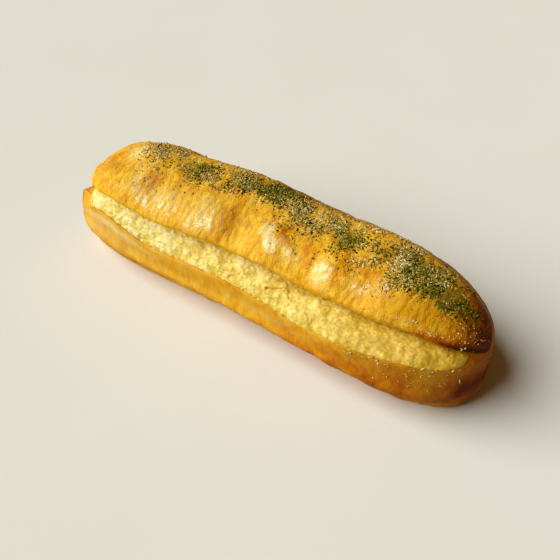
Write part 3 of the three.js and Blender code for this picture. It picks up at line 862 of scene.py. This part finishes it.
# %% [markdown]
# A flake starts as a disc of five sides and a crumb as a ball of twenty, and each vertex is
# moved at random, so that no two are alike. They could be copies of a few good ones, but at
# this size a few faces are all that shows, and making each anew costs as little.

# %% One flake, one crumb
HERB_SIZES = (0.16, 0.22, 0.3, 0.3, 0.42, 0.6)  # radius in millimetres
HERB_WIDTHS = (0.25, 0.35, 0.6, 0.9)  # share of the length
HERB_CURLS, HERB_EDGES, HERB_CRUMPLE = (-0.5, 0.7), (0.6, 1.2), 0.1
HERB_THICKNESS = 0.09
CHEESE_SIZES = (0.11, 0.14, 0.18, 0.24, 0.32)
CHEESE_LENGTHS, CHEESE_HEIGHTS = (0.9, 1.4, 2.4, 3.2), (0.4, 0.8)  # times the size
CHEESE_EDGES = (0.7, 1.15)


def herb_flake(bm, draw):
    """A five-sided bit of leaf or stalk, curled, with uneven edges. Returns its size and vertices."""
    size = draw.choice(HERB_SIZES)
    plate = bmesh.ops.create_circle(bm, cap_ends=True, segments=5, radius=size)["verts"]
    wide, curl = draw.choice(HERB_WIDTHS), draw.uniform(*HERB_CURLS)
    for v in plate:
        v.co *= draw.uniform(*HERB_EDGES)
        v.co.y *= wide
        v.co.z = curl * v.co.x * v.co.x / size + draw.uniform(-HERB_CRUMPLE, HERB_CRUMPLE)
    face = plate[0].link_faces[0]
    made = bmesh.ops.extrude_face_region(bm, geom=[face], use_keep_orig=True)["geom"]
    top = [v for v in made if isinstance(v, bmesh.types.BMVert)]
    bmesh.ops.translate(bm, vec=(0, 0, HERB_THICKNESS), verts=top)
    return size, plate + top


def cheese_grain(bm, draw):
    """A crumb or short shred. Returns its size and vertices."""
    size = draw.choice(CHEESE_SIZES)
    crumb = bmesh.ops.create_icosphere(bm, subdivisions=1, radius=size)["verts"]
    long, flat = draw.choice(CHEESE_LENGTHS), draw.uniform(*CHEESE_HEIGHTS)
    for v in crumb:
        v.co *= draw.uniform(*CHEESE_EDGES)
        v.co.x *= long
        v.co.z *= flat
    return size, crumb


# %% Strewing
TILT = 0.5  # how far the pieces lean, in radians
BATCH = 40


def strewn(make, places, draw, lift):
    """Makes a small piece at each place, turned and laid on the crust. An operator visits all of
    the mesh that it works in, so the pieces are made a few dozen at a time and then gathered."""
    whole = bmesh.new()
    places = list(zip(*places))
    for start in range(0, len(places), BATCH):
        few = bmesh.new()
        tone = few.verts.layers.float.new("tone")
        for at, normal in places[start : start + BATCH]:
            size, verts = make(few, draw)
            up = Vector(normal)
            stand = Vector((0, 0, 1)).rotation_difference(up).to_matrix().to_4x4()
            turn = Matrix.Rotation(draw.uniform(0, 2 * math.pi), 4, "Z")
            lean = Matrix.Rotation(draw.gauss(0, TILT), 4, "X")
            matrix = Matrix.Translation(Vector(at) + up * lift * size) @ stand @ lean @ turn
            bmesh.ops.transform(few, matrix=matrix, verts=verts)
            shade = draw.random()
            for v in verts:
                v[tone] = shade
        bmesh.ops.recalc_face_normals(few, faces=few.faces)
        mesh = bpy.data.meshes.new("few")
        few.to_mesh(mesh)
        few.free()
        whole.from_mesh(mesh)
        bpy.data.meshes.remove(mesh)
    return whole


# %% [markdown]
# Dried leaf is matt, from nearly black to straw. Baked cheese is amber where it is thin and
# cream where it is thick. A material for every shade would be many, so each piece carries a
# random tone on its vertices, and one material for each kind looks its colour up by it.

# %% Finishes of herb and cheese
HERB_SCALE = ((0.0, "1c1e02"), (0.25, "3e4406"), (0.6, "78701a"), (1.0, "ae9c3c"))
CHEESE_SCALE = ((0.0, "b07e1c"), (0.4, "cca648"), (0.8, "e0c67c"), (1.0, "f2e2ac"))


def toned(f, scale):
    """Looks up each piece's own tone, varied a little by noise, and ends the finish."""
    return f.done(Base_Color=f.colours(f.attribute("tone") + 0.3 * (f.noise(0.5) - 0.5), scale))


herb_material = toned(Finish("dried_herb", Roughness=0.8, Specular_IOR_Level=0.0), HERB_SCALE)
cheese_finish = Finish(
    "grated_cheese", Subsurface_Weight=0.2, Subsurface_Scale=1.0 * MM, Roughness=0.5,
    Specular_IOR_Level=0.3)
cheese_material = toned(cheese_finish, CHEESE_SCALE)

# %% Herb and cheese
HERB_COUNT, HERB_CLUMP, HERB_LIFT, HERB_SEED = 9800, 5, 0.2, 11
CHEESE_COUNT, CHEESE_CLUMP, CHEESE_LIFT, CHEESE_SEED = 7600, 6, 0.25, 23
draw = random.Random(HERB_SEED)
herb_places = scattered(HERB_PATCHES, HERB_COUNT, HERB_CLUMP, draw)
fallen = [filling_piece.closest_point_on_mesh(Vector(at) * MM)[1:3] for at in FALLEN]
fallen_places = ([at / MM for at, _ in fallen], [up for _, up in fallen])
herb_places = [np.concatenate(both) for both in zip(herb_places, fallen_places)]
herb_bits = strewn(herb_flake, herb_places, draw, HERB_LIFT)
herb_piece = finished(herb_bits, "herb_flakes", herb_material)
draw = random.Random(CHEESE_SEED)
cheese_places = scattered(CHEESE_PATCHES, CHEESE_COUNT, CHEESE_CLUMP, draw)
cheese_bits = strewn(cheese_grain, cheese_places, draw, CHEESE_LIFT)
cheese_piece = finished(cheese_bits, "cheese_grains", cheese_material)
for piece in (herb_piece, cheese_piece):
    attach(piece, "root")

# %% [markdown]
# ## Floor, light and camera
#
# The roll lies on a pale matt floor that fills the picture. One wide window lights it from the
# front left, so the shadow is soft at its edge and deep where the roll meets the floor. The
# room adds only a little warm light, as a pale room does beside golden bread. The camera looks
# down by half a right angle, and its lens is shifted a little to set the roll in the picture.

# %% Floor
FLOOR_HALF = 2 / MM  # half of its side
f = Finish("pale_floor", Roughness=0.9)
floor_material = f.done(Base_Color=f.blend(paint("e9e7da"), paint("e5e3d5"), f.noise(60, 2)))
bm = bmesh.new()
bmesh.ops.create_grid(bm, x_segments=1, y_segments=1, size=FLOOR_HALF)
floor_piece = finished(bm, "floor", floor_material)

# %% [markdown]
# A window could be an area light, but its strength would fall off along the roll. A sun lamp
# with a very wide angle gives the same soft shadow and lights both ends alike.

# %% Light
WINDOW_SIDE = (-0.62, -0.48, 0.70)  # the direction that the light comes from
WINDOW_STRENGTH, WINDOW_ANGLE, WINDOW_COLOUR = 4.15, math.radians(58), (0.95, 0.985, 1.0)
ROOM_COLOUR, ROOM_STRENGTH = (1.0, 0.52, 0.14, 1.0), 0.10
scene = bpy.context.scene
sun = bpy.data.lights.new("window", "SUN")
sun.energy, sun.angle, sun.color = WINDOW_STRENGTH, WINDOW_ANGLE, WINDOW_COLOUR
sun_object = bpy.data.objects.new("window", sun)
sun_object.rotation_mode = "QUATERNION"
sun_object.rotation_quaternion = Vector(WINDOW_SIDE).to_track_quat("Z", "Y")
bpy.context.collection.objects.link(sun_object)
world = bpy.data.worlds.new("soft_room")
world.use_nodes = True
room = world.node_tree.nodes["Background"].inputs
room["Color"].default_value, room["Strength"].default_value = ROOM_COLOUR, ROOM_STRENGTH
scene.world = world
scene.view_settings.view_transform = "Standard"
print("window from", WINDOW_SIDE, "and strength", WINDOW_STRENGTH)

# %% [markdown]
# The camera was found by fitting the roll's outline to the picture. It is built here from
# angles and a distance round a point on the roll, because those are easier to read and to
# change than a place and a rotation.

# %% Camera
CAMERA_AIM = Vector((0, -5.1, 20)) * MM
AZIMUTH, ELEVATION = math.radians(32.97), math.radians(45)
DISTANCE = 320 * MM
SENSOR, LENS = 36, 54.11  # in millimetres, as a camera's data wants them
SHIFT = (0.0145, -0.03225)  # shares of the picture
NEAREST, FARTHEST = 0.01, 10
camera_data = bpy.data.cameras.new("camera")
camera_data.sensor_width, camera_data.lens = SENSOR, LENS
camera_data.shift_x, camera_data.shift_y = SHIFT
camera_data.clip_start, camera_data.clip_end = NEAREST, FARTHEST
camera = bpy.data.objects.new("camera", camera_data)
level = math.cos(ELEVATION)
back = Vector((math.sin(AZIMUTH) * level, -math.cos(AZIMUTH) * level, math.sin(ELEVATION)))
camera.location = CAMERA_AIM + back * DISTANCE
camera.rotation_mode = "QUATERNION"
camera.rotation_quaternion = back.to_track_quat("Z", "Y")
bpy.context.collection.objects.link(camera)
scene.camera = camera
print("camera at", [round(c / MM) for c in camera.location], "mm")
